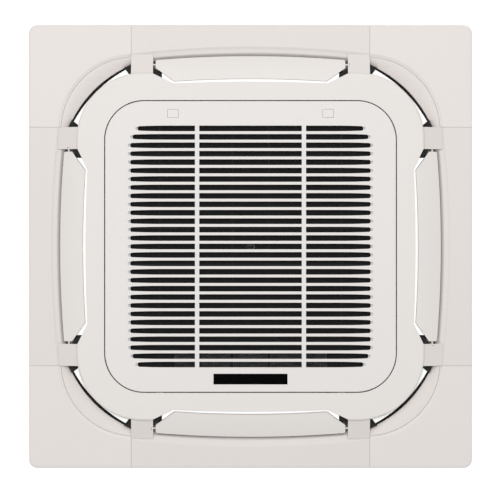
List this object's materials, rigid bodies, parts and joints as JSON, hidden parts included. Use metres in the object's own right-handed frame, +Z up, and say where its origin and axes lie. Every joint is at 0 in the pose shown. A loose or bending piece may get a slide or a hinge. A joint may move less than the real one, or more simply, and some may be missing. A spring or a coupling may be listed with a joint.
{
  "type": "ceiling cassette air conditioner",
  "caption": "Four-way ceiling cassette indoor unit: square slotted intake grille, outlet louvres round it, corner covers, and a cabinet with fan, coil and pump above.",
  "frame": {"origin": "centre of the ceiling plane, where the rim of the fascia meets the finished ceiling", "axes": "+Z up into the ceiling void, +Y towards the grille's hinges and display window, +X towards the refrigerant pipes"},
  "size_m": [0.95, 0.95, 0.2924],
  "materials": {
    "fascia_plastic": "moulded, fine satin",
    "ring_plastic": "moulded, fine satin",
    "cover_plastic": "moulded, fine satin",
    "louvre_plastic": "moulded, fine satin",
    "grille_plastic": "moulded, fine satin",
    "latch_plastic": "moulded, fine satin",
    "display_black": "polished",
    "filter_plastic": "moulded",
    "filter_net": "woven net",
    "white_foam": "expanded foam",
    "black_foam": "soft foam",
    "lining_foam": "soft foam",
    "galvanised_steel": "galvanised sheet",
    "plated_steel": "zinc plated",
    "fin_aluminium": "thin bare fins",
    "copper": "drawn tube",
    "nut_brass": "machined",
    "fan_plastic": "moulded",
    "bell_plastic": "moulded",
    "motor_paint": "semi gloss",
    "motor_can": "drawn can",
    "black_rubber": "moulded",
    "bush_plastic": "moulded",
    "pump_plastic": "moulded",
    "float_plastic": "moulded",
    "board_green": "lacquered board",
    "pipe_plastic": "extruded",
    "plate_paint": "painted"
  },
  "bodies": {
    "cassette": {"fascia_frame": "fascia_plastic", "fascia_ring": "ring_plastic", "drain_pan": "white_foam", "slot_liners": "white_foam", "vent_liners": "white_foam", "fascia_seal": "black_foam", "foam_pads": "black_foam", "wall_insulation": "lining_foam", "cabinet_shell": "galvanised_steel", "top_plate": "galvanised_steel", "hanging_brackets": "galvanised_steel", "fascia_brackets": "galvanised_steel", "evaporator_end_plates": "galvanised_steel", "coil_partition": "galvanised_steel", "electrical_box": "galvanised_steel", "electrical_box_cover": "galvanised_steel", "pump_bracket": "galvanised_steel", "case_screws": "plated_steel", "fascia_bolts": "plated_steel", "evaporator_fins": "fin_aluminium", "gas_pipe": "copper", "liquid_pipe": "copper", "evaporator_bends": "copper", "flare_nuts": "nut_brass", "bell_plate": "bell_plastic", "bell_mouth": "bell_plastic", "fan_motor": "motor_paint", "louvre_motors": "motor_can", "motor_bushes": "black_rubber", "drain_plug": "black_rubber", "cable_grommet": "black_rubber", "drain_hose": "black_rubber", "louvre_bushes": "bush_plastic", "drain_pump": "pump_plastic", "float_switch": "pump_plastic", "control_board": "board_green", "drain_pipe": "pipe_plastic", "pipe_cover_plate": "plate_paint"},
    "fan_rotor": {"turbo_fan": "fan_plastic", "fan_shroud": "fan_plastic", "motor_shaft": "plated_steel", "fan_nut": "plated_steel"},
    "pump_rotor": {"pump_impeller": "pump_plastic"},
    "float": {"float_ball": "float_plastic"},
    "louvre_display": {"louvre_display": "louvre_plastic"},
    "louvre_left": {"louvre_left": "louvre_plastic"},
    "louvre_latch": {"louvre_latch": "louvre_plastic"},
    "louvre_right": {"louvre_right": "louvre_plastic"},
    "grille": {"intake_grille": "grille_plastic", "filter_frame": "filter_plastic", "filter_mesh": "filter_net", "display_window": "display_black", "display_board": "board_green"},
    "latch_left": {"grille_latch_left": "latch_plastic"},
    "latch_right": {"grille_latch_right": "latch_plastic"},
    "cover_display_right": {"corner_cover_display_right": "cover_plastic"},
    "cover_display_left": {"corner_cover_display_left": "cover_plastic"},
    "cover_latch_left": {"corner_cover_latch_left": "cover_plastic"},
    "cover_latch_right": {"corner_cover_latch_right": "cover_plastic"}
  },
  "joints": [
    {"name": "fan_spin", "type": "hinge", "parent": "cassette", "child": "fan_rotor", "pos_m": [0, 0, 0.15], "axis": [0, 0, 1], "continuous": true},
    {"name": "pump_spin", "type": "hinge", "parent": "cassette", "child": "pump_rotor", "pos_m": [0.285, 0.285, 0.08], "axis": [0, 0, 1], "continuous": true},
    {"name": "float_rise", "type": "slide", "parent": "cassette", "child": "float", "axis": [0, 0, 1], "range_m": [0, 0.02]},
    {"name": "louvre_display_tilt", "type": "hinge", "parent": "cassette", "child": "louvre_display", "pos_m": [0, 0.389, -0.0205], "axis": [-1, 0, 0], "range_deg": [0, 60]},
    {"name": "louvre_left_tilt", "type": "hinge", "parent": "cassette", "child": "louvre_left", "pos_m": [-0.389, 0, -0.0205], "axis": [0, -1, 0], "range_deg": [0, 60]},
    {"name": "louvre_latch_tilt", "type": "hinge", "parent": "cassette", "child": "louvre_latch", "pos_m": [0, -0.389, -0.0205], "axis": [1, 0, 0], "range_deg": [0, 60]},
    {"name": "louvre_right_tilt", "type": "hinge", "parent": "cassette", "child": "louvre_right", "pos_m": [0.389, 0, -0.0205], "axis": [0, 1, 0], "range_deg": [0, 60]},
    {"name": "grille_swing", "type": "hinge", "parent": "cassette", "child": "grille", "pos_m": [0, 0.3084, -0.0353], "axis": [1, 0, 0], "range_deg": [0, 90]},
    {"name": "latch_left_push", "type": "slide", "parent": "grille", "child": "latch_left", "axis": [0, 0, 1], "range_m": [0, 0.003], "stiffness_N_per_m": 600, "springref_m": -0.002},
    {"name": "latch_right_push", "type": "slide", "parent": "grille", "child": "latch_right", "axis": [0, 0, 1], "range_m": [0, 0.003], "stiffness_N_per_m": 600, "springref_m": -0.002},
    {"name": "cover_display_right_unclip", "type": "slide", "parent": "cassette", "child": "cover_display_right", "axis": [0, 0, -1], "range_m": [0, 0.012]},
    {"name": "cover_display_left_unclip", "type": "slide", "parent": "cassette", "child": "cover_display_left", "axis": [0, 0, -1], "range_m": [0, 0.012]},
    {"name": "cover_latch_left_unclip", "type": "slide", "parent": "cassette", "child": "cover_latch_left", "axis": [0, 0, -1], "range_m": [0, 0.012]},
    {"name": "cover_latch_right_unclip", "type": "slide", "parent": "cassette", "child": "cover_latch_right", "axis": [0, 0, -1], "range_m": [0, 0.012]}
  ]
}
